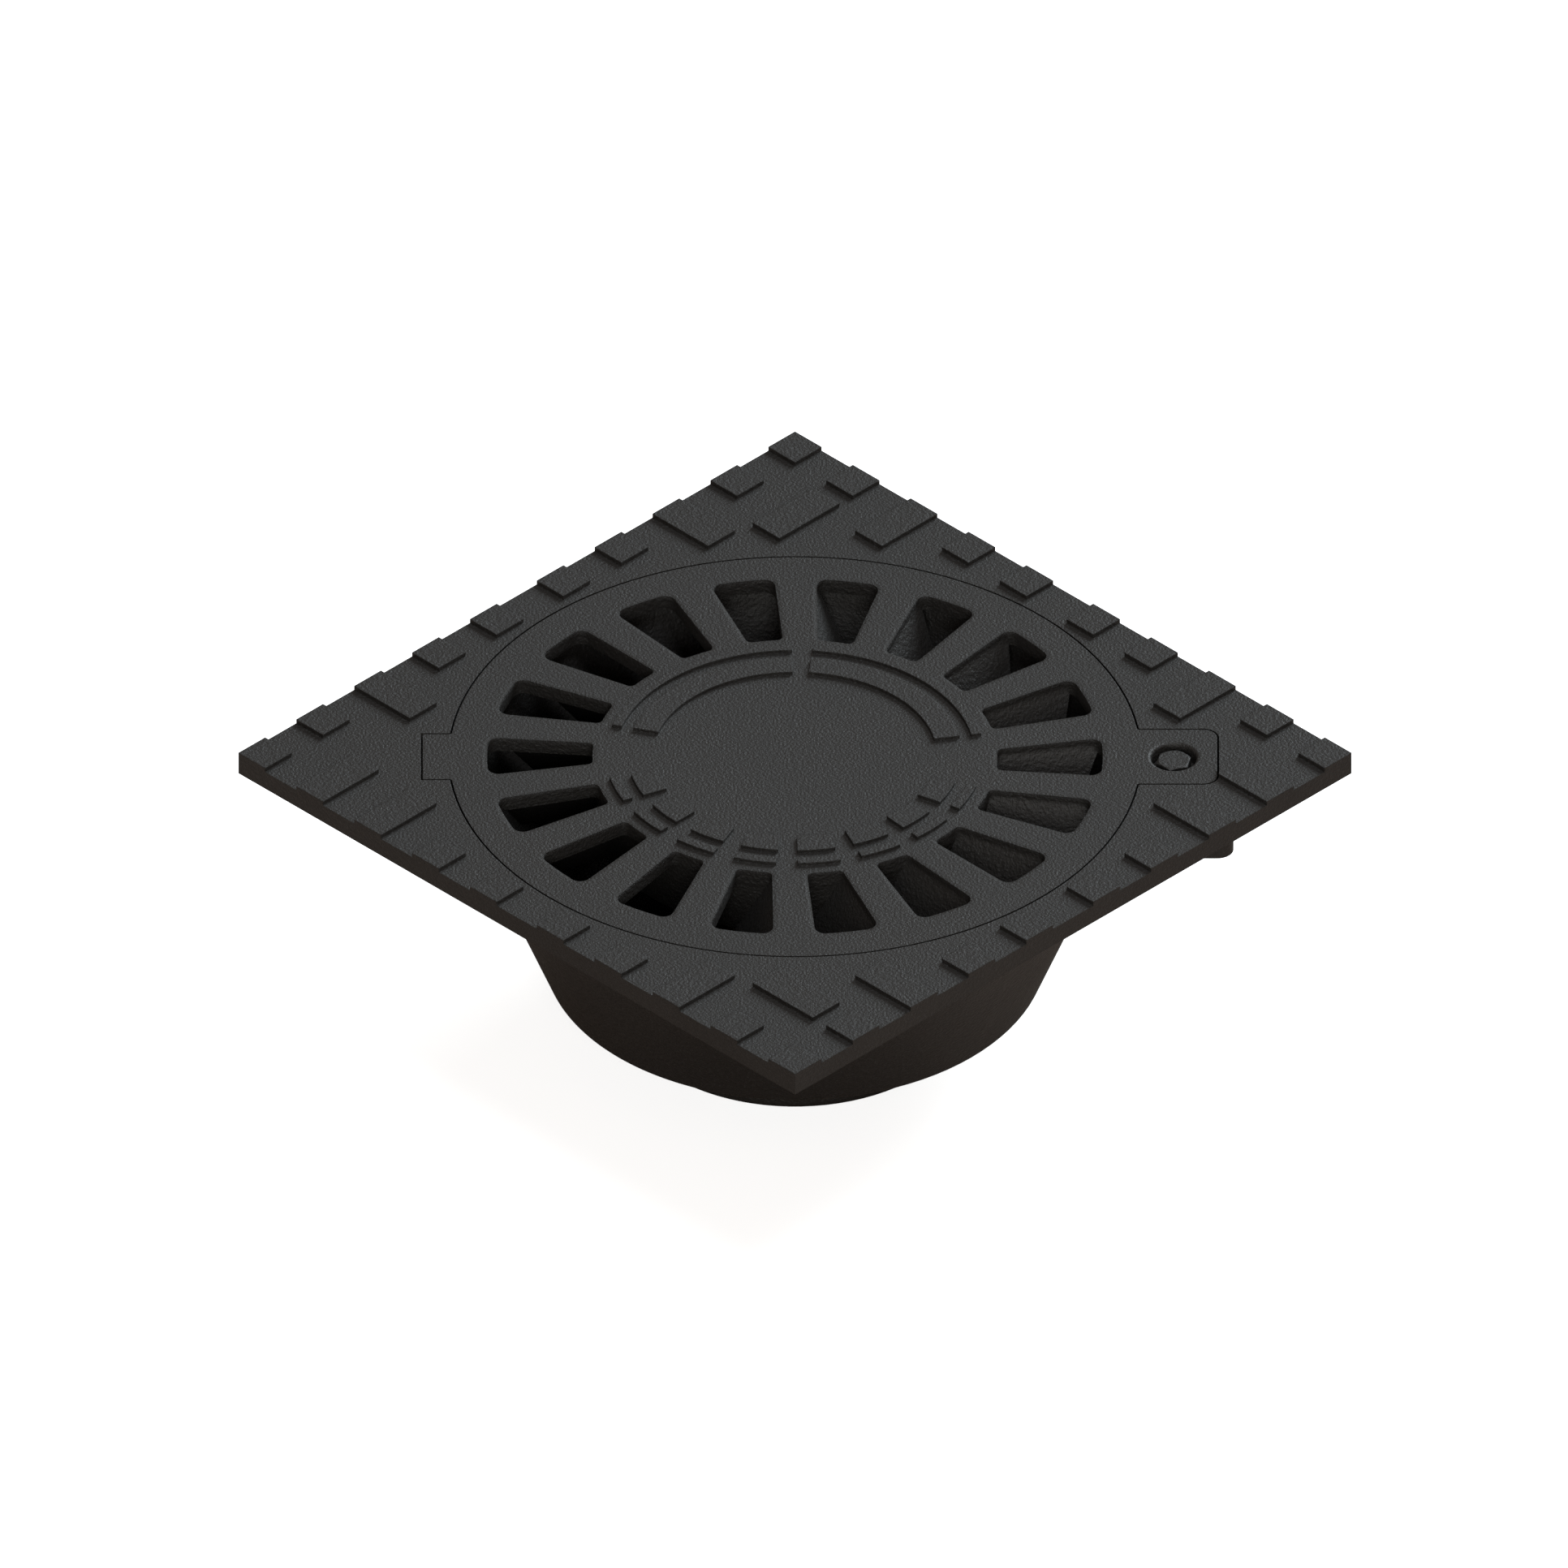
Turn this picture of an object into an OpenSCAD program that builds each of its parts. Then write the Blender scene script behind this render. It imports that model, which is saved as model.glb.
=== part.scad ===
// Terrace drain: a square cast iron frame with a bowl and a spigot, and a round grate bolted into it.
// Lengths are in millimetres. +Z is up and the origin is the middle of the spigot's foot.

/* [Frame] */
// Side of the square flange
flange_side = 250; // [240:1:320]
// Thickness of the flange between its raised pads
plate_t = 6.5; // [5.5:0.5:10]
// Height from the foot of the spigot to the tops of the pads
total_h = 100; // [80:1:160]
// Gap all round between the grate and its seat
seat_gap = 0.6; // [0.2:0.1:1]
// Width of the ledge that the grate rests on
ledge_w = 7.6; // [5:0.1:10]
// Thickness of the ledge
ledge_t = 6; // [4:0.5:10]
// Wall of the frame beside the grate's seat and its two tabs
seat_wall = 4.6; // [3:0.1:8]

/* [Pads] */
// Height of the raised pads on the flange
pad_h = 1.5; // [0.5:0.1:3]
// Width of a pad along the edge
pad_w = 12; // [8:0.5:14]
// Length of a short pad, in from the edge
pad_short = 12; // [8:0.5:14]
// Length of a long pad, in from the edge
pad_long = 25; // [14:0.5:25]
// Length of an inner pad that stands behind an edge pad
pad_inner = 27; // [14:0.5:27]
// Distance from one pad to the next
pad_pitch = 26; // [20:0.5:30]
// Groove between an edge pad and the inner pad behind it
pad_groove = 6; // [4:0.5:10]

/* [Bowl] */
// Outside radius of the bowl's floor
floor_r = 79; // [65:0.5:90]
// Height of the bowl's floor above the foot of the spigot
floor_z = 20; // [15:1:40]
// Wall of the bowl, measured level
bowl_wall = 5.8; // [4:0.2:8]
// Thickness of the bowl's floor
floor_t = 5; // [4:0.5:8]
// Rounding between the bowl's wall and floor, outside
floor_round = 3; // [1:0.5:6]

/* [Spigot] */
// Outside radius of the spigot
spigot_r = 55; // [40:0.5:60]
// Wall of the spigot
spigot_wall = 5; // [3:0.5:8]
// Rounding of the spigot's outer foot and of its mouth in the bowl
spigot_round = 2.5; // [1:0.5:2.5]

/* [Grate] */
// Radius of the grate
grate_r = 109.7; // [90:0.1:112]
// Thickness of the grate's plate
grate_t = 5; // [4:0.5:10]
// Number of slots
slot_count = 18; // [12:1:20]
// Width of the solid rim outside the slots
rim_w = 11.9; // [8:0.1:16]
// Radius of the solid hub inside the slots
hub_r = 64.3; // [62:0.1:70]
// Width of a slot at the hub
slot_w_in = 11.4; // [8:0.1:13]
// Width of a slot at the rim
slot_w_out = 20.8; // [14:0.1:23]
// Rounding of a slot's two corners at the rim
slot_round_out = 3.5; // [1:0.1:4]
// Rounding of a slot's two corners at the hub
slot_round_in = 2; // [1:0.1:3]
// Turn of the ring of slots from the middle of the lock tab, in degrees
slot_turn = -0.7; // [-5:0.1:5]
// Turn of a slot's middle line from the line to the grate's centre, in degrees
slot_skew = 3.4; // [0:0.1:6]

/* [Vanes] */
// Depth of the vanes and the hub's skirt below the top of the grate
vane_depth = 24; // [12:0.5:30]
// Depth at which a vane's front comes out of its slot's side
vane_drop = 2.5; // [1.2:0.1:3.5]
// Thickness of a vane
vane_t = 6; // [4:0.5:7]
// Lean of a vane from upright, in degrees
vane_lean = 28.5; // [10:0.5:35]
// Slope of a vane's outer end, inward for each millimetre down
vane_rake = 0.48; // [0.3:0.02:0.8]
// Wall of the hub's skirt
skirt_t = 6; // [4:0.5:10]
// Set-back of the skirt's top from the edge of the hub
skirt_set = 0.15; // [0.1:0.05:2]
// Draft of the skirt, over its whole depth
skirt_draft = 1; // [0.2:0.1:2]

/* [Raised rings] */
// Height of the raised rings on the hub
ring_h = 1.2; // [0.5:0.1:3]
// Inner radius of the wide ring
wide_ring_r = 45; // [38:0.5:46]
// Width of the wide ring
wide_ring_w = 8.2; // [4:0.1:9]
// Inner radius of the narrow ring
narrow_ring_r = 57; // [56:0.1:58]
// Width of the narrow ring
narrow_ring_w = 3.2; // [2:0.1:4]
// Direction of the middle of the short pieces, in degrees
ring_turn = -47.4; // [-60:0.1:-30]
// Number of short pieces in each ring
short_count = 8; // [4:1:8]
// Angle from one short piece to the next
short_pitch = 19.7; // [15:0.1:20]
// Angle that a short piece covers
short_arc = 13.1; // [8:0.1:14]
// Angle that a long piece covers
long_arc = 73.6; // [50:0.1:80]
// Angle between the two long pieces
long_gap = 6.6; // [3:0.1:20]

/* [Tabs] */
// How far the lock tab reaches past the middle of its bolt
lock_lip = 13.8; // [11.5:0.1:20]
// Width of the lock tab
lock_w = 29.6; // [24:0.1:36]
// Rounding of the lock tab's two outer corners
lock_round = 4.5; // [1:0.1:8]
// How far the rest tab reaches past the round edge of the grate
rest_run = 8.5; // [5:0.1:11]
// Width of the rest tab
rest_w = 24.6; // [16:0.1:30]
// Rounding where a tab meets the round edge of the grate
tab_root_round = 1.2; // [1.2:0.1:6]
// Depth of the lock pocket's foot below the pad tops
pocket_depth = 27; // [25:1:40]
// Thickness of the lock pocket's floor
pocket_floor = 5; // [3:0.5:8]

/* [Bolt] */
// Distance of the bolt from the round edge of the grate
bolt_run = 10.6; // [8:0.1:16]
// Radius of the bolt's shank
bolt_r = 3; // [2.5:0.5:3]
// Length of the bolt under its head
bolt_l = 16; // [12:1:16]
// Width across the flats of the bolt's head
head_af = 10; // [8:0.5:11]
// Height of the bolt's head
head_h = 4; // [3:0.1:5]
// Depth of the head's top below the top of the grate
head_sunk = 1.1; // [0.5:0.1:2]
// Turn of the head's hexagon from the lock tab's direction, in degrees
head_turn = 18; // [0:1:60]
// Radius of the well that the head stands in
well_r = 7.2; // [7:0.1:8]
// Rounding of the well's edge
well_round = 1.2; // [0.5:0.1:2]
// Wall of the boss under the well
well_wall = 2; // [1.5:0.1:2.5]
// Iron under the bolt's head
well_floor = 6.3; // [4:0.1:8]
// Gap between the bolt and the holes it passes through
bolt_gap = 0.05; // [0.02:0.01:0.3]

/* [Hidden] */
$fn = 96;

iron = [0.21, 0.21, 0.215];
steel = [0.26, 0.26, 0.265];
lap = 1;                                   // how far one form runs into the next, where they are one casting
touch = 0.002;                             // how far a rounding runs past each face that it meets
lock_turn = 45;                            // the lock tab points at a corner of the flange
rest_turn = lock_turn + 180;

face_z = total_h - pad_h;                  // top of the flange plate and of the grate
under_z = face_z - plate_t;                // underside of the flange
seat_z = face_z - grate_t;                 // top of the ledge
ledge_z = seat_z - ledge_t;                // underside of the ledge
seat_r = grate_r + seat_gap;
collar_r = seat_r + seat_wall;
throat_r = seat_r - ledge_w;               // inside radius of the bowl at the ledge
bore_r = spigot_r - spigot_wall;
pocket_z = total_h - pocket_depth;         // foot of the lock pocket

slot_end_r = grate_r - rim_w;
slot_step = 360 / slot_count;
slot_w_mid = (slot_w_in + slot_w_out) / 2;
slot_flare = atan((slot_w_out - slot_w_in) / 2 / (slot_end_r - hub_r));    // between a side and the middle line
slot_mid_r = (hub_r + slot_end_r) / 2;
grate_mid = polar(slot_mid_r, 180 - slot_skew);            // the grate's centre, seen from a slot's middle
vane_z = face_z - vane_depth;
vane_top_z = face_z - vane_drop;

rest_end = grate_r + rest_run;
bolt_x = grate_r + bolt_run;
lock_end = bolt_x + lock_lip;
boss_r = well_r + well_wall;
pocket_r = min(seat_r, bolt_x - boss_r - seat_gap);        // radius of the lock pocket's inner wall
head_z = face_z - head_sunk - head_h;      // underside of the bolt's head
well_z = head_z - well_floor;              // underside of the boss under the well
tip_z = head_z - bolt_l;
tip_room = 2;                              // depth of the tapped hole past the bolt's tip
vane_set = 0.3;                            // from the rim to a vane's outer end, at the vane's top

half_pads = floor((flange_side / 2 - 1.5 * pad_w) / pad_pitch) + 1;
edge_pad_x = flange_side / 2 - pad_w / 2;  // middle of the pad next to a corner

function unit(v) = v / norm(v);
function polar(r, a) = [r * cos(a), r * sin(a)];

// Inside radius of the bowl at height z, along the straight line of its wall
function bowl_in(z) =
    floor_r - bowl_wall + (z - floor_z) * (throat_r - floor_r + bowl_wall) / (seat_z - floor_z);

// The piece between the corner a-b-c and an arc of radius r in that corner
module corner_bit(a, b, c, r) {
    u = unit(a - b);
    v = unit(c - b);
    half = acos(u * v) / 2;
    out = unit(u + v);
    difference() {
        polygon([b - out * 0.01, b + u * r / tan(half), b + v * r / tan(half)]);
        translate(b + out * r / sin(half)) circle(r);
    }
}

// A tab from x0 to x1 along +X, with its two far corners rounded
module tab_outline(x0, x1, w, r) {
    translate([x0, -w / 2]) square([x1 - x0 - r, w]);
    translate([x0, r - w / 2]) square([x1 - x0, w - 2 * r]);
    for (side = [-1, 1]) translate([x1 - r, side * (w / 2 - r)]) circle(r);
}

// Fillets of radius r between a circle of radius disc_r and the sides of a tab of width w
module root_fillets(disc_r, w, r) {
    y = w / 2 + r - touch;
    x = sqrt(pow(disc_r + r - touch, 2) - y * y);
    for (side = [0, 1]) mirror([0, side])
        difference() {
            polygon([[sqrt(disc_r * disc_r - w * w / 4) - lap, w / 2 - lap], [x, w / 2 - lap], [x, w / 2],
                     [x, y] * disc_r / (disc_r + r), [x, y] * (disc_r - lap) / (disc_r + r)]);
            translate([x, y]) circle(r);
        }
}

// The grate's outline seen from above, grown by a gap all round
module grate_outline(gap) {
    circle(grate_r + gap, $fn = 180);
    rotate(lock_turn) {
        tab_outline(0, lock_end + gap, lock_w + 2 * gap, lock_round + gap);
        root_fillets(grate_r + gap, lock_w + 2 * gap, tab_root_round - gap);
    }
    rotate(rest_turn) {
        translate([0, -rest_w / 2 - gap]) square([rest_end + gap, rest_w + 2 * gap]);
        root_fillets(grate_r + gap, rest_w + 2 * gap, tab_root_round - gap);
    }
}

// A pad of the given length along Y, whose outer end is at y and whose middle is at x
module pad(x, y, length) {
    translate([x - pad_w / 2, y - length, face_z - lap]) cube([pad_w, length, pad_h + lap]);
}

// The pads along the +Y edge: every third from a corner is long
module edge_pads() {
    for (side = [-1, 1])
        for (k = [0 : half_pads - 1])
            pad(side * (edge_pad_x - k * pad_pitch), flange_side / 2, k == 2 ? pad_long : pad_short);
}

// The pads that only some corners have
module odd_pads() {
    second = edge_pad_x - pad_pitch;
    behind = flange_side / 2 - pad_short - pad_groove;
    pad(-second, behind, pad_inner);
    rotate(-90) pad(second, behind, pad_inner);
    rotate(180) pad(second, flange_side / 2, pad_long);
    rotate(-90) pad(-second, flange_side / 2, pad_long);
}

// Half section of the collar, bowl and spigot as if they were solid
module outer_section() {
    foot = [spigot_r, 0];
    heel = [floor_r, floor_z];
    rise = [bowl_in(ledge_z) + bowl_wall, ledge_z];
    difference() {
        polygon([[0, under_z + lap], [collar_r, under_z + lap], [collar_r, ledge_z],
                 [bowl_in(2 * ledge_z - under_z) + bowl_wall, 2 * ledge_z - under_z], heel,
                 [spigot_r, floor_z], foot, [0, 0]]);
        corner_bit([0, 0], foot, [spigot_r, floor_z], spigot_round);
        corner_bit([spigot_r, floor_z], heel, rise, floor_round);
    }
}

// Half section of the room inside the bowl and the spigot
module inner_section() {
    mouth = [bore_r, floor_z + floor_t];
    corner = [bowl_in(floor_z + floor_t), floor_z + floor_t];
    top = [bowl_in(seat_z + lap), seat_z + lap];
    difference() {
        polygon([[0, -lap], [bore_r, -lap], mouth, corner, top, [0, seat_z + lap]]);
        corner_bit(mouth, corner, top, floor_round + bowl_wall / 2);
    }
    translate(mouth) mirror([0, 1]) difference() {
        translate([-lap, -lap]) square(spigot_round + lap);
        translate([spigot_round, spigot_round]) circle(spigot_round);
    }
}

// The blocks under the flange that the grate's two tabs are set into
module tab_blocks() {
    grow = 2 * (seat_gap + seat_wall);
    rotate(lock_turn) translate([0, 0, pocket_z]) linear_extrude(under_z + lap - pocket_z)
        tab_outline(throat_r, lock_end + grow / 2, lock_w + grow, lock_round + seat_gap);
    rotate(rest_turn) translate([throat_r, -(rest_w + grow) / 2, ledge_z])
        cube([rest_end + grow / 2 - throat_r, rest_w + grow, under_z + lap - ledge_z]);
}

// The room under the lock tab, round the post that takes the bolt
module lock_pocket() {
    room_z = pocket_z + pocket_floor;
    translate([0, 0, room_z]) linear_extrude(seat_z + lap - room_z)
        difference() {
            tab_outline(0, lock_end + seat_gap, lock_w + 2 * seat_gap, lock_round + seat_gap);
            circle(pocket_r, $fn = 180);
        }
}

// The post that the lock tab's boss rests on, tapped for the bolt
module lock_post() {
    difference() {
        translate([bolt_x, 0, pocket_z + lap]) cylinder(h = well_z - pocket_z - lap, r = boss_r);
        translate([bolt_x, 0, tip_z - tip_room])
            cylinder(h = well_z - tip_z + tip_room + lap, r = bolt_r + bolt_gap);
    }
}

// The frame: flange, collar, bowl and spigot in one casting
module drain_body() {
    color(iron) {
        difference() {
            union() {
                translate([-flange_side / 2, -flange_side / 2, under_z])
                    cube([flange_side, flange_side, plate_t]);
                for (quarter = [0 : 3]) rotate(90 * quarter) edge_pads();
                odd_pads();
                rotate_extrude($fn = 180) outer_section();
                tab_blocks();
            }
            translate([0, 0, seat_z]) linear_extrude(total_h + lap - seat_z) grate_outline(seat_gap);
            rotate_extrude($fn = 180) inner_section();
            rotate(lock_turn) lock_pocket();
            rotate(lock_turn) translate([bolt_x, 0, tip_z - tip_room])
                cylinder(h = well_z - tip_z, r = bolt_r + bolt_gap);
        }
        rotate(lock_turn) lock_post();
    }
}

// Along a slot's side, outward, and across it into the slot: side is 1 for the one that the vane hangs from
function along(side) = polar(1, side * slot_flare);
function across(side) = polar(1, side * (slot_flare - 90));

// Middle of the corner rounding of radius r that touches a side of a slot and whose middle lies at
// the radius far from the grate's centre
function corner_mid(side, r, far) =
    let (from = [0, side * slot_w_mid / 2] + across(side) * (r - touch) - grate_mid,
         reach = from * along(side))
    grate_mid + from + along(side) * (sqrt(reach * reach - from * from + far * far) - reach);
function outer_mid(side) = corner_mid(side, slot_round_out, slot_end_r - slot_round_out + touch);
function inner_mid(side) = corner_mid(side, slot_round_in, hub_r + slot_round_in - touch);

// Turns and moves what is drawn about a slot's middle to the slot k of the grate
module at_slot(k) {
    rotate(lock_turn + slot_turn + k * slot_step) translate([slot_mid_r, 0]) rotate(slot_skew) children();
}

// The iron in a slot's corner, outside its rounding of radius r about the point mid. The corner lies
// along the side to the rim (way = 1) or the hub (way = -1), and tip points from mid at the rim or hub.
module slot_corner(mid, side, r, way, tip) {
    foot = mid - across(side) * (r - touch);
    difference() {
        polygon([foot, foot - across(side) * lap, mid + (way * along(side) - across(side)) * 2 * r,
                 mid + tip * (r + lap), mid + tip * (r - touch)]);
        translate(mid) circle(r);
    }
}

// One slot about its middle, with +X along it, seen from above
module slot_outline() {
    reach = slot_end_r - hub_r;
    near = slot_w_mid / 2 - reach * tan(slot_flare);
    wide = slot_w_mid / 2 + reach * tan(slot_flare);
    difference() {
        intersection() {
            polygon([[-reach, -near], [reach, -wide], [reach, wide], [-reach, near]]);
            translate(grate_mid) circle(slot_end_r, $fn = 180);
        }
        translate(grate_mid) circle(hub_r, $fn = 180);
        for (side = [-1, 1]) {
            slot_corner(outer_mid(side), side, slot_round_out, 1, unit(outer_mid(side) - grate_mid));
            slot_corner(inner_mid(side), side, slot_round_in, -1, unit(grate_mid - inner_mid(side)));
        }
    }
}

// A leaning slab whose front face comes out of a slot's side, all along it
module vane_slab() {
    reach = (slot_end_r - hub_r) / 2 + 2 * skirt_t;
    translate([0, slot_w_mid / 2, vane_top_z]) rotate(slot_flare) rotate([-vane_lean, 0, 0])
        translate([-reach, 0, -2 * vane_depth]) cube([2 * reach, vane_t, 3 * vane_depth]);
}

// The skirt that hangs under the edge of the hub, with draft inside and outside
module skirt() {
    top_r = hub_r - skirt_set;
    foot_r = top_r - skirt_draft;
    rotate_extrude($fn = 180)
        polygon([[top_r - skirt_t - skirt_draft, seat_z + grate_t / 2], [top_r, seat_z + grate_t / 2],
                 [top_r, seat_z], [foot_r, vane_z], [foot_r - skirt_t + skirt_draft, vane_z]]);
}

// The vanes: one hangs from each bar, with its front under the slot beside it
module vanes() {
    in_r = hub_r - skirt_t / 2;
    end_r = slot_end_r - vane_set;
    intersection() {
        rotate_extrude($fn = 180)
            polygon([[in_r, vane_z], [in_r, face_z - lap], [end_r, face_z - lap], [end_r, vane_top_z],
                     [end_r - vane_rake * (vane_top_z - vane_z), vane_z]]);
        for (k = [0 : slot_count - 1]) at_slot(k) vane_slab();
    }
}

// A flat piece of a ring, seen from above
module ring_piece(r, w, middle, arc) {
    far = 1.5 * (r + w);
    intersection() {
        difference() {
            circle(r + w, $fn = 180);
            circle(r, $fn = 180);
        }
        polygon([[0, 0], polar(far, middle - arc / 2), polar(far, middle), polar(far, middle + arc / 2)]);
    }
}

// The raised rings on the hub: short pieces on the front half, two long ones on the back half
module raised_rings() {
    translate([0, 0, face_z - lap]) linear_extrude(ring_h + lap)
        for (ring = [[wide_ring_r, wide_ring_w], [narrow_ring_r, narrow_ring_w]]) {
            for (k = [0 : short_count - 1])
                ring_piece(ring[0], ring[1], ring_turn + (k - (short_count - 1) / 2) * short_pitch, short_arc);
            for (side = [-1, 1])
                ring_piece(ring[0], ring[1], ring_turn + 180 + side * (long_arc + long_gap) / 2, long_arc);
        }
}

// The well that the bolt's head stands in, and the hole under it
module bolt_well() {
    translate([bolt_x, 0]) {
        translate([0, 0, well_z - lap]) cylinder(h = well_floor + 2 * lap, r = bolt_r + bolt_gap);
        translate([0, 0, head_z]) cylinder(h = total_h - head_z, r = well_r);
        translate([0, 0, face_z]) rotate_extrude() difference() {
            translate([0, -well_round]) square([well_r + well_round, well_round + lap]);
            translate([well_r + well_round, -well_round]) circle(well_round);
        }
    }
}

// The grate: plate, hub skirt, vanes and both tabs in one casting
module grate() {
    color(iron) difference() {
        union() {
            translate([0, 0, seat_z]) linear_extrude(grate_t) difference() {
                grate_outline(0);
                for (k = [0 : slot_count - 1]) at_slot(k) slot_outline();
            }
            skirt();
            vanes();
            raised_rings();
            rotate(lock_turn) translate([bolt_x, 0, well_z])
                cylinder(h = face_z - well_z - lap, r = boss_r);
        }
        rotate(lock_turn) bolt_well();
    }
}

// The hexagon-head bolt that holds the lock tab down
module lock_bolt() {
    corner_r = head_af / 2 / cos(30);
    bevel = corner_r - head_af / 2 + 0.2;
    color(steel) rotate(lock_turn) translate([bolt_x, 0]) {
        translate([0, 0, head_z]) intersection() {
            rotate(head_turn) cylinder(h = head_h, r = corner_r, $fn = 6);
            rotate_extrude() polygon([[0, -lap], [corner_r + lap, -lap], [corner_r + lap, head_h - (bevel + lap) / 2],
                                      [corner_r - bevel, head_h], [0, head_h]]);
        }
        translate([0, 0, tip_z]) rotate_extrude()
            polygon([[0, 0], [bolt_r - 1, 0], [bolt_r, 1], [bolt_r, bolt_l + lap], [0, bolt_l + lap]]);
    }
}

drain_body();
grate();
lock_bolt();
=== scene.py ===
"""Looks of the terrace drain: black-coated sand-cast iron, lit and seen as in its photograph."""

from __future__ import annotations

import logging
import math
from dataclasses import dataclass, field
from enum import Enum

import bpy
import numpy as np
from mathutils import Matrix, Vector


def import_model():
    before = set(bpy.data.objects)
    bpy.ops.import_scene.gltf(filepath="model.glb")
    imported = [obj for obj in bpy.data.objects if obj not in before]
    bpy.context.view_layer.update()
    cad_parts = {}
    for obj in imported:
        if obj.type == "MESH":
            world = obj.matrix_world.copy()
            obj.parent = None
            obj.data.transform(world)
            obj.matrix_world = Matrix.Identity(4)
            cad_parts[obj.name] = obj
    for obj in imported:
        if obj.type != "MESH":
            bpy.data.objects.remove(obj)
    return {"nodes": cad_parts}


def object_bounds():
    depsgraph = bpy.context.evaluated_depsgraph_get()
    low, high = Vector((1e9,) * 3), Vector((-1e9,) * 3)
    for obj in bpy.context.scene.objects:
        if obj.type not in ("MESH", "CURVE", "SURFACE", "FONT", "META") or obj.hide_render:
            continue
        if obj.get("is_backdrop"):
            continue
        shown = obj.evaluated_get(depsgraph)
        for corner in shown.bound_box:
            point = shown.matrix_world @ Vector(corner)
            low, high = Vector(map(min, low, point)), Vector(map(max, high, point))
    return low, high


LOG = logging.getLogger("terrace_drain")
MM = 0.001
PHOTO_PX = 1932
PLATE_MM = 98.5
UPRIGHT, LEVEL = 0.6, 0.95
CREST_FROM, CREST_TO = 0.55, 0.75
CLOUD_FROM, CLOUD_TO = 0.3, 0.7


class View(Enum):
    """Directions of the photograph's view, in degrees."""

    AZIMUTH = -45.0
    ELEVATION = 35.264


class Skin(Enum):
    """Which faces of a casting a mark lies on: the tops take the painted highlight of the grain in full, the walls
    take the mould's wrinkles.
    """

    TOPS = "tops"
    WALLS = "walls"


@dataclass(frozen=True)
class CastFinish:
    """A black coat on sand-cast iron.

    Attributes:
        coat: Colour of the coat, linear.
        crest_highlight: Painted highlight, the colour of the coat on the high points of the grain, linear.
        wall_highlight_share: Share of that painted highlight that the high points on the walls take.
        cloud_mm: Size of the broad clouding.
        cloud_dark: Share of the coat's brightness that its dull patches keep.
        roughness: Middle roughness of the coat.
        roughness_spread: How far the clouding moves it, up and down.
        specular: Strength of its mirror share.
        grain_mm: Size of one grain of the skin.
        grain_mm_high: Height of the grain.
        ripple_mm: Size of the wrinkles on the walls, up and down.
        ripple_mm_high: Height of the wrinkles.
        edge_mm: Radius that the coat rounds a sharp edge to.
        pad_edge_mm: The same along the raised pads and rings.
        slot_edge_mm: Radius of the rounding along the top of the slots.
        seam_painted_shade: Share of the coat's brightness that is left inside the seam round the grate, as painted
            shade in place of the seam's shadow.
    """

    coat: tuple[float, float, float] = (0.0185, 0.0172, 0.0160)
    # Painted highlight: a lighter, cooler colour on the high points of the grain, in full on the tops and in part on
    # the walls.
    crest_highlight: tuple[float, float, float] = (0.040, 0.041, 0.042)
    wall_highlight_share: float = 0.6
    cloud_mm: float = 26.0
    cloud_dark: float = 0.85
    roughness: float = 0.55
    roughness_spread: float = 0.04
    specular: float = 0.4
    grain_mm: float = 0.55
    grain_mm_high: float = 0.34
    ripple_mm: float = 0.85
    ripple_mm_high: float = 0.34
    edge_mm: float = 0.3
    pad_edge_mm: float = 0.6
    slot_edge_mm: float = 0.3
    # Painted shade: the coat is darkened inside the seam round the grate.
    seam_painted_shade: float = 0.1


@dataclass(frozen=True)
class GrateRings:
    """Where the slots and the seam round the grate lie, in millimetres.

    Attributes:
        inner_mm: Radius where the slots start.
        outer_mm: Radius where they end.
        foot_mm: Height under which no top edge lies.
        seam_mm: Radii of the grate and of its seat.
        fade_mm: Width over which one finish turns into another.
    """

    inner_mm: float = 64.3
    outer_mm: float = 97.8
    foot_mm: float = 94.0
    seam_mm: tuple[float, float] = (109.7, 110.3)
    fade_mm: float = 0.1


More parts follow.
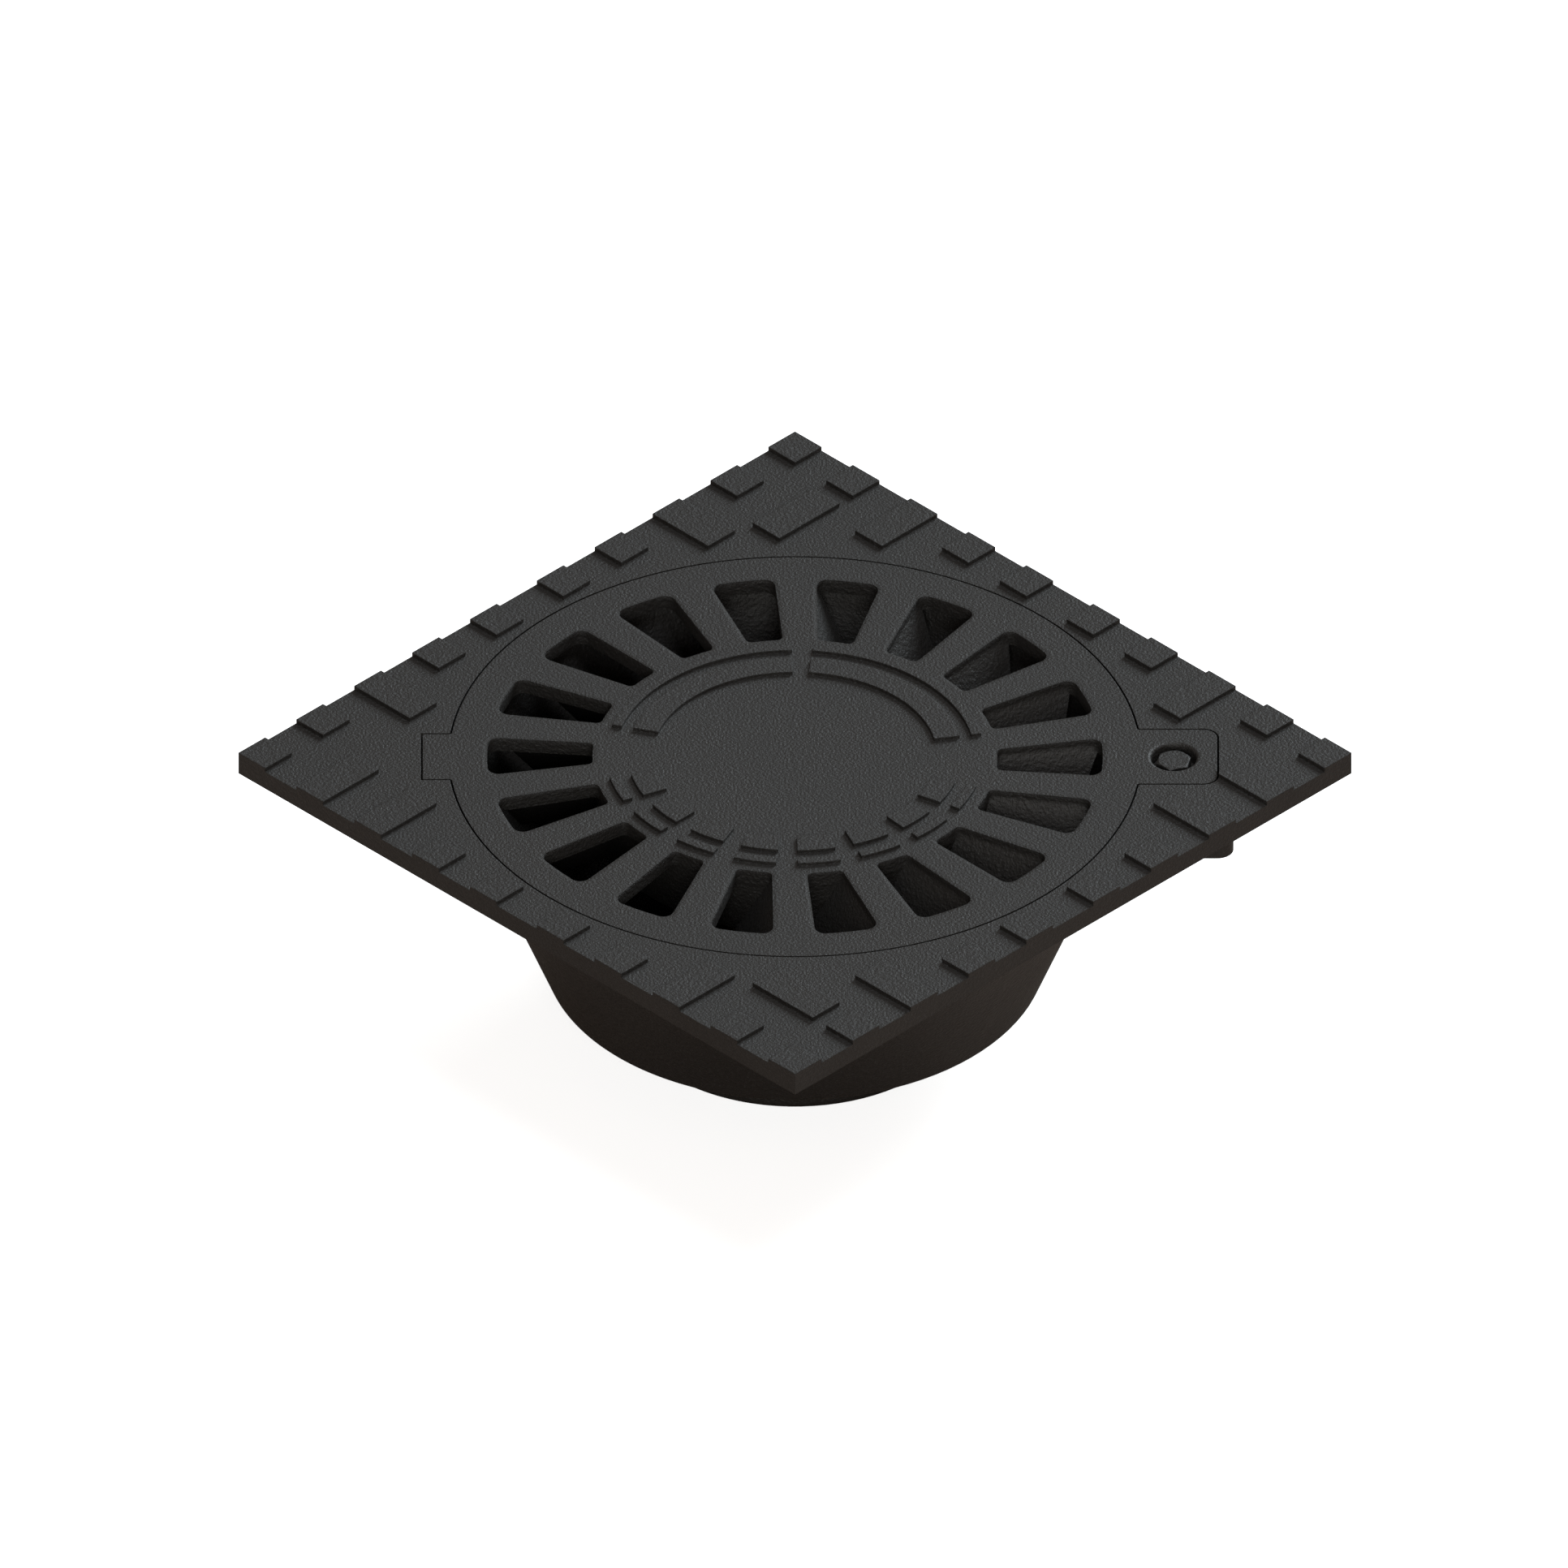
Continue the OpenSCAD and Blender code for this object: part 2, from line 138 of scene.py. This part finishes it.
class NodeDesk:
    """Adds and joins the nodes of one material."""

    def __init__(self, name: str) -> None:
        """Starts an empty material.

        Args:
            name: Name of the material.
        """
        self.material = bpy.data.materials.new(name)
        self.material.use_nodes = True
        self.tree = self.material.node_tree
        self.tree.nodes.clear()
        self.output = self.add("ShaderNodeOutputMaterial")
        self.coordinates = self.add("ShaderNodeTexCoord").outputs["Object"]

    def add(self, kind: str, **settings: object) -> bpy.types.Node:
        """Adds a node.

        Args:
            kind: Blender's name of the node type.
            **settings: Attributes to set on it.

        Returns:
            The new node.
        """
        node = self.tree.nodes.new(kind)
        for key, value in settings.items():
            setattr(node, key, value)
        return node

    def join(self, source: bpy.types.NodeSocket, target: bpy.types.NodeSocket) -> None:
        """Links two sockets."""
        self.tree.links.new(source, target)

    def feed(self, socket: bpy.types.NodeSocket, value: object) -> None:
        """Links a socket, or sets it to a plain value."""
        if isinstance(value, bpy.types.NodeSocket):
            self.join(value, socket)
        else:
            socket.default_value = value

    def noise(self, size_mm: float, detail: float = 3.0, rough: float = 0.5,
              stretch: tuple[float, float, float] = (1.0, 1.0, 1.0)) -> bpy.types.NodeSocket:
        """Adds a noise whose features are about size_mm across.

        Args:
            size_mm: Size of a feature.
            detail: Octaves.
            rough: Share that each octave keeps.
            stretch: How much longer the features are along X, Y and Z.

        Returns:
            The noise's factor, from 0 to 1.
        """
        mapping = self.add("ShaderNodeMapping")
        mapping.inputs["Scale"].default_value = [1.0 / s for s in stretch]
        self.join(self.coordinates, mapping.inputs["Vector"])
        texture = self.add("ShaderNodeTexNoise")
        texture.inputs["Scale"].default_value = 1.0 / (size_mm * MM * 1.6)
        texture.inputs["Detail"].default_value = detail
        texture.inputs["Roughness"].default_value = rough
        self.join(mapping.outputs["Vector"], texture.inputs["Vector"])
        return texture.outputs[0]

    def level(self, value: bpy.types.NodeSocket, low: float, high: float,
              to_low: float = 0.0, to_high: float = 1.0) -> bpy.types.NodeSocket:
        """Maps a value from low..high to to_low..to_high, and no further."""
        node = self.add("ShaderNodeMapRange", clamp=True)
        self.join(value, node.inputs["Value"])
        for key, number in (("From Min", low), ("From Max", high), ("To Min", to_low), ("To Max", to_high)):
            node.inputs[key].default_value = number
        return node.outputs["Result"]

    def math(self, operation: str, a: object, b: object = 0.0) -> bpy.types.NodeSocket:
        """Adds a sum, a product or the like of two values."""
        node = self.add("ShaderNodeMath", operation=operation)
        self.feed(node.inputs[0], a)
        self.feed(node.inputs[1], b)
        return node.outputs[0]

    def within(self, value: bpy.types.NodeSocket, low: float, high: float, fade: float) -> bpy.types.NodeSocket:
        """Gives 1 from low to high and 0 outside, over a short fade on the outer sides."""
        above = self.level(value, low - fade, low)
        return self.math("MULTIPLY", above, self.level(value, high, high + fade, 1.0, 0.0))

    def out_and_up(self) -> tuple[bpy.types.NodeSocket, bpy.types.NodeSocket]:
        """Gives a point's distance from the upright axis and its height."""
        apart = self.add("ShaderNodeSeparateXYZ")
        self.join(self.coordinates, apart.inputs[0])
        x, y, z = apart.outputs
        squares = self.math("ADD", self.math("MULTIPLY", x, x), self.math("MULTIPLY", y, y))
        return self.math("SQRT", squares), z

    def blend(self, share: object, a: object, b: object) -> bpy.types.NodeSocket:
        """Blends two colours, a where share is 0 and b where it is 1."""
        node = self.add("ShaderNodeMix", data_type="RGBA")
        self.feed(node.inputs["Factor"], share)
        for socket, colour in ((node.inputs[6], a), (node.inputs[7], b)):
            self.feed(socket, colour if isinstance(colour, bpy.types.NodeSocket) else (*colour, 1.0))
        return node.outputs[2]

    def bump(self, height: bpy.types.NodeSocket, high_mm: float,
             normal: bpy.types.NodeSocket | None = None) -> bpy.types.NodeSocket:
        """Adds a bump of the given height on top of a normal.

        Args:
            height: Height from 0 to 1.
            high_mm: Height in millimetres that 1 stands for.
            normal: Normal to start from.

        Returns:
            The bumped normal.
        """
        node = self.add("ShaderNodeBump")
        node.inputs["Strength"].default_value = 1.0
        node.inputs["Distance"].default_value = high_mm * MM
        self.join(height, node.inputs["Height"])
        if normal is not None:
            self.join(normal, node.inputs["Normal"])
        return node.outputs["Normal"]


class Foundry:
    """Makes the finish of the castings and the bolt."""

    def __init__(self, rings: GrateRings) -> None:
        """Keeps the place of the slots and of the seam.

        Args:
            rings: Where they lie.
        """
        self.rings = rings

    def edge_radius(self, desk: NodeDesk, finish: CastFinish) -> bpy.types.NodeSocket:
        """Works out how far an edge is rounded at each point: more along the top of the slots.

        Args:
            desk: The material's nodes.
            finish: The casting's finish.

        Returns:
            The radius in metres.
        """
        out, up = desk.out_and_up()
        reach, fade = finish.slot_edge_mm, self.rings.fade_mm
        across = desk.within(out, (self.rings.inner_mm - reach) * MM, (self.rings.outer_mm + reach) * MM, fade * MM)
        high = desk.level(up, self.rings.foot_mm * MM, (self.rings.foot_mm + fade) * MM)
        inside = desk.math("MULTIPLY", high, across)
        foot = PLATE_MM + fade
        pads = desk.level(up, foot * MM, (foot + fade) * MM, finish.edge_mm * MM, finish.pad_edge_mm * MM)
        slots = desk.math("MULTIPLY", inside, (finish.slot_edge_mm - finish.edge_mm) * MM)
        return desk.math("ADD", pads, slots)

    def facing(self, desk: NodeDesk, skin: Skin) -> bpy.types.NodeSocket:
        """Finds the faces that a mark lies on: the tops for the painted highlight of the grain, the walls for the
        mould's wrinkles.

        Args:
            desk: The material's nodes.
            skin: Tops or walls.

        Returns:
            1 on those faces and 0 on the others.
        """
        apart = desk.add("ShaderNodeSeparateXYZ")
        desk.join(desk.add("ShaderNodeNewGeometry").outputs["True Normal"], apart.inputs[0])
        up = desk.math("ABSOLUTE", apart.outputs[2])
        if skin is Skin.TOPS:
            return desk.level(up, UPRIGHT, LEVEL)
        return desk.level(up, UPRIGHT, LEVEL, 1.0, 0.0)

    def painted_seam_shade(self, desk: NodeDesk) -> bpy.types.NodeSocket:
        """Finds the walls of the narrow round seam between the grate and its seat, where the coat is darkened as
        painted shade.

        Args:
            desk: The material's nodes.

        Returns:
            1 inside the seam and 0 elsewhere.
        """
        out, up = desk.out_and_up()
        grate, seat = self.rings.seam_mm
        fade = self.rings.fade_mm
        across = desk.within(out, (grate - fade) * MM, (seat + fade) * MM, fade * MM / 2)
        low = desk.level(up, (PLATE_MM - 3 * fade) * MM, (PLATE_MM - fade) * MM, 1.0, 0.0)
        return desk.math("MULTIPLY", low, across)

    def cast(self, name: str, finish: CastFinish) -> bpy.types.Material:
        """Makes a coated casting's material: grain all over with a painted highlight on its high points, wrinkles on
        the walls, rounded edges, painted shade in the seam round the grate.

        Args:
            name: Name of the material.
            finish: Its values.

        Returns:
            The material.
        """
        desk = NodeDesk(name)
        shader = desk.add("ShaderNodeBsdfPrincipled")
        bevel = desk.add("ShaderNodeBevel", samples=2)
        desk.join(self.edge_radius(desk, finish), bevel.inputs["Radius"])
        grain = desk.noise(finish.grain_mm, detail=2.5, rough=0.55)
        ripple = desk.noise(finish.ripple_mm, detail=2.0, rough=0.45, stretch=(1.3, 1.3, 1.0))
        cloud = desk.noise(finish.cloud_mm, detail=4.0, rough=0.55)
        dull = tuple(finish.cloud_dark * c for c in finish.coat)
        coat = desk.blend(desk.level(cloud, CLOUD_FROM, CLOUD_TO), finish.coat, dull)
        # Painted highlight: the high points of the grain take a lighter colour, in full on the tops and in part on
        # the walls.
        lit = desk.level(self.facing(desk, Skin.TOPS), 0.0, 1.0, finish.wall_highlight_share, 1.0)
        crest_highlights = desk.math("MULTIPLY", desk.level(grain, CREST_FROM, CREST_TO), lit)
        colour = desk.blend(crest_highlights, coat, finish.crest_highlight)
        # Painted shade: the coat is darkened on the walls of the seam round the grate.
        seam = tuple(finish.seam_painted_shade * c for c in finish.coat)
        desk.join(desk.blend(self.painted_seam_shade(desk), colour, seam), shader.inputs["Base Color"])
        spread = finish.roughness_spread
        rough = desk.level(cloud, CLOUD_FROM, CLOUD_TO, finish.roughness - spread, finish.roughness + spread)
        desk.join(rough, shader.inputs["Roughness"])
        shader.inputs["Specular IOR Level"].default_value = finish.specular
        wrinkles = desk.math("MULTIPLY", ripple, self.facing(desk, Skin.WALLS))
        normal = desk.bump(wrinkles, finish.ripple_mm_high, bevel.outputs["Normal"])
        normal = desk.bump(grain, finish.grain_mm_high, normal)
        desk.join(normal, shader.inputs["Normal"])
        desk.join(shader.outputs["BSDF"], desk.output.inputs["Surface"])
        return desk.material


@dataclass
class Castings:
    """The two castings and the bolt, which keep the shapes of the frame.

    Attributes:
        frame_finish: Finish of the frame.
        grate_finish: Finish of the grate.
        bolt_finish: Finish of the bolt, which wears the same coat.
        foundry: Maker of the finishes.
    """

    frame_finish: CastFinish = CastFinish()
    grate_finish: CastFinish = CastFinish(slot_edge_mm=2.1)
    bolt_finish: CastFinish = CastFinish(ripple_mm_high=0.04)
    foundry: Foundry = field(default_factory=lambda: Foundry(GrateRings()))

    def dress(self, nodes: dict[str, bpy.types.Object]) -> None:
        """Gives each node its finish.

        Args:
            nodes: The frame's nodes by name.
        """
        finishes = {
            "drain_body": self.foundry.cast("frame_skin", self.frame_finish),
            "grate": self.foundry.cast("grate_skin", self.grate_finish),
            "lock_bolt": self.foundry.cast("bolt_skin", self.bolt_finish),
        }
        for name, material in finishes.items():
            mesh = nodes[name].data
            mesh.materials.clear()
            mesh.materials.append(material)
            LOG.info("dressed %s", name)


@dataclass
class Studio:
    """The floor, the lights and the camera.

    Attributes:
        px_per_mm: Pixels of the photograph per millimetre across the view.
        axis_right_px: How far the drain's axis lies right of the picture's middle.
        top_up_px: How far the middle of the drain's top lies above the picture's middle.
        stand_off: Distance of the camera.
        floor_radius: Radius of the round floor.
        foot_radius: Radius of the floor's disc inside the drain's foot.
        floor_sides: How many sides the round floor has.
    """

    px_per_mm: float = 3.8793
    axis_right_px: float = 13.5
    top_up_px: float = 38.5
    stand_off: float = 1.6
    floor_radius: float = 3.0
    foot_radius: float = 0.052
    floor_sides: int = 96

    def directions(self) -> tuple[np.ndarray, np.ndarray, np.ndarray]:
        """Works out the view's right, up and backward directions."""
        turn = math.radians(View.AZIMUTH.value)
        tilt = math.radians(View.ELEVATION.value)
        back = np.array([math.cos(turn) * math.cos(tilt), math.sin(turn) * math.cos(tilt), math.sin(tilt)])
        right = np.array([-math.sin(turn), math.cos(turn), 0.0])
        return right, np.cross(back, right), back

    def camera(self, top: np.ndarray) -> bpy.types.Object:
        """Adds the camera, which sees the drain in parallel lines.

        Args:
            top: Middle of the drain's top.

        Returns:
            The camera.
        """
        right, up, back = self.directions()
        step = MM / self.px_per_mm
        aim = top - right * self.axis_right_px * step - up * self.top_up_px * step
        data = bpy.data.cameras.new("camera")
        data.type = "ORTHO"
        data.ortho_scale = PHOTO_PX * step
        data.clip_end = 20.0
        camera = bpy.data.objects.new("camera", data)
        bpy.context.scene.collection.objects.link(camera)
        turn = Matrix(np.column_stack([right, up, back]).tolist())
        camera.matrix_world = Matrix.Translation(Vector(aim + back * self.stand_off)) @ turn.to_4x4()
        bpy.context.scene.camera = camera
        return camera

    def lamp(self, name: str, azimuth: float, elevation: float, distance: float, size: float,
             watts: float, colour: tuple[float, float, float]) -> None:
        """Adds a square soft lamp that faces the drain.

        Args:
            name: Name of the lamp.
            azimuth: Direction of the lamp round the drain, in degrees from +X.
            elevation: Height of the lamp above level, in degrees.
            distance: Distance from the drain.
            size: Side of the lamp.
            watts: Its power.
            colour: Its colour.
        """
        data = bpy.data.lights.new(name, "AREA")
        data.size = size
        data.energy = watts
        data.color = colour
        lamp = bpy.data.objects.new(name, data)
        bpy.context.scene.collection.objects.link(lamp)
        turn, tilt = math.radians(azimuth), math.radians(elevation)
        place = Vector((math.cos(turn) * math.cos(tilt), math.sin(turn) * math.cos(tilt), math.sin(tilt)))
        lamp.matrix_world = Matrix.Translation(place * distance) @ place.to_track_quat("Z", "Y").to_matrix().to_4x4()

    def floor_finish(self, glows: bool) -> bpy.types.Material:
        """Makes the floor's paper: warm in the light it throws back, white where the camera sees it.

        Args:
            glows: Whether the camera sees it glow, which hides all but the drain's shadow.

        Returns:
            The material.
        """
        desk = NodeDesk("floor_white" if glows else "floor_under_drain")
        warm = desk.add("ShaderNodeBsdfDiffuse")
        warm.inputs["Color"].default_value = (0.44, 0.36, 0.31, 1.0)
        seen = warm
        if glows:
            paper = desk.add("ShaderNodeBsdfDiffuse")
            paper.inputs["Color"].default_value = (0.86, 0.86, 0.86, 1.0)
            glow = desk.add("ShaderNodeEmission")
            glow.inputs["Strength"].default_value = 0.8
            seen = desk.add("ShaderNodeAddShader")
            desk.join(paper.outputs[0], seen.inputs[0])
            desk.join(glow.outputs[0], seen.inputs[1])
        share = desk.add("ShaderNodeMixShader")
        desk.join(desk.add("ShaderNodeLightPath").outputs["Is Camera Ray"], share.inputs[0])
        desk.join(warm.outputs[0], share.inputs[1])
        desk.join(seen.outputs[0], share.inputs[2])
        desk.join(share.outputs[0], desk.output.inputs["Surface"])
        return desk.material

    def floor(self) -> None:
        """Adds the plain round floor, with a disc of bare paper inside the drain's foot."""
        turns = np.linspace(0.0, 2.0 * math.pi, self.floor_sides, endpoint=False)
        rings = [[(radius * math.cos(t), radius * math.sin(t), 0.0) for t in turns]
                 for radius in (self.foot_radius, self.floor_radius)]
        sides = self.floor_sides
        faces = [tuple(range(sides))]
        faces += [(i, i + sides, (i + 1) % sides + sides, (i + 1) % sides) for i in range(sides)]
        mesh = bpy.data.meshes.new("floor")
        mesh.from_pydata(rings[0] + rings[1], [], faces)
        for glows in (False, True):
            mesh.materials.append(self.floor_finish(glows))
        mesh.polygons.foreach_set("material_index", [0] + [1] * sides)
        floor = bpy.data.objects.new("floor", mesh)
        bpy.context.scene.collection.objects.link(floor)
        floor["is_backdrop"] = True

    def world(self, strength: float) -> None:
        """Lights the drain evenly from all sides, before a white background.

        Args:
            strength: Strength of the even light.
        """
        world = bpy.data.worlds.new("studio")
        bpy.context.scene.world = world
        world.use_nodes = True
        nodes, links = world.node_tree.nodes, world.node_tree.links
        nodes.clear()
        output = nodes.new("ShaderNodeOutputWorld")
        even = nodes.new("ShaderNodeBackground")
        even.inputs["Color"].default_value = (1.0, 0.79, 0.66, 1.0)
        even.inputs["Strength"].default_value = strength
        white = nodes.new("ShaderNodeBackground")
        white.inputs["Color"].default_value = (1.0, 1.0, 1.0, 1.0)
        white.inputs["Strength"].default_value = 1.0
        path = nodes.new("ShaderNodeLightPath")
        share = nodes.new("ShaderNodeMixShader")
        links.new(path.outputs["Is Camera Ray"], share.inputs[0])
        links.new(even.outputs[0], share.inputs[1])
        links.new(white.outputs[0], share.inputs[2])
        links.new(share.outputs[0], output.inputs["Surface"])

    def light(self) -> None:
        """Sets the lamps: a warm even sky, a cool key behind on the right and a soft one overhead."""
        self.world(0.16)
        self.lamp("key", 97.0, 28.0, 6.0, 3.0, 300.0, (0.86, 0.95, 1.0))
        self.lamp("top", -10.0, 76.0, 5.0, 2.2, 106.0, (0.92, 0.96, 1.0))
        self.lamp("front", -45.0, 25.0, 4.0, 1.4, 46.0, (0.98, 0.97, 0.93))


def main() -> None:
    """Builds the drain's looks and the studio round it."""
    logging.basicConfig(level=logging.INFO, format="%(message)s")
    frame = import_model()
    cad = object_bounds()
    bpy.context.scene.view_settings.view_transform = "Standard"
    Castings().dress(frame["nodes"])
    studio = Studio()
    low, high = cad
    studio.floor()
    studio.light()
    studio.camera(np.array([(low[0] + high[0]) / 2, (low[1] + high[1]) / 2, high[2]]))


if __name__ == "__main__":
    main()
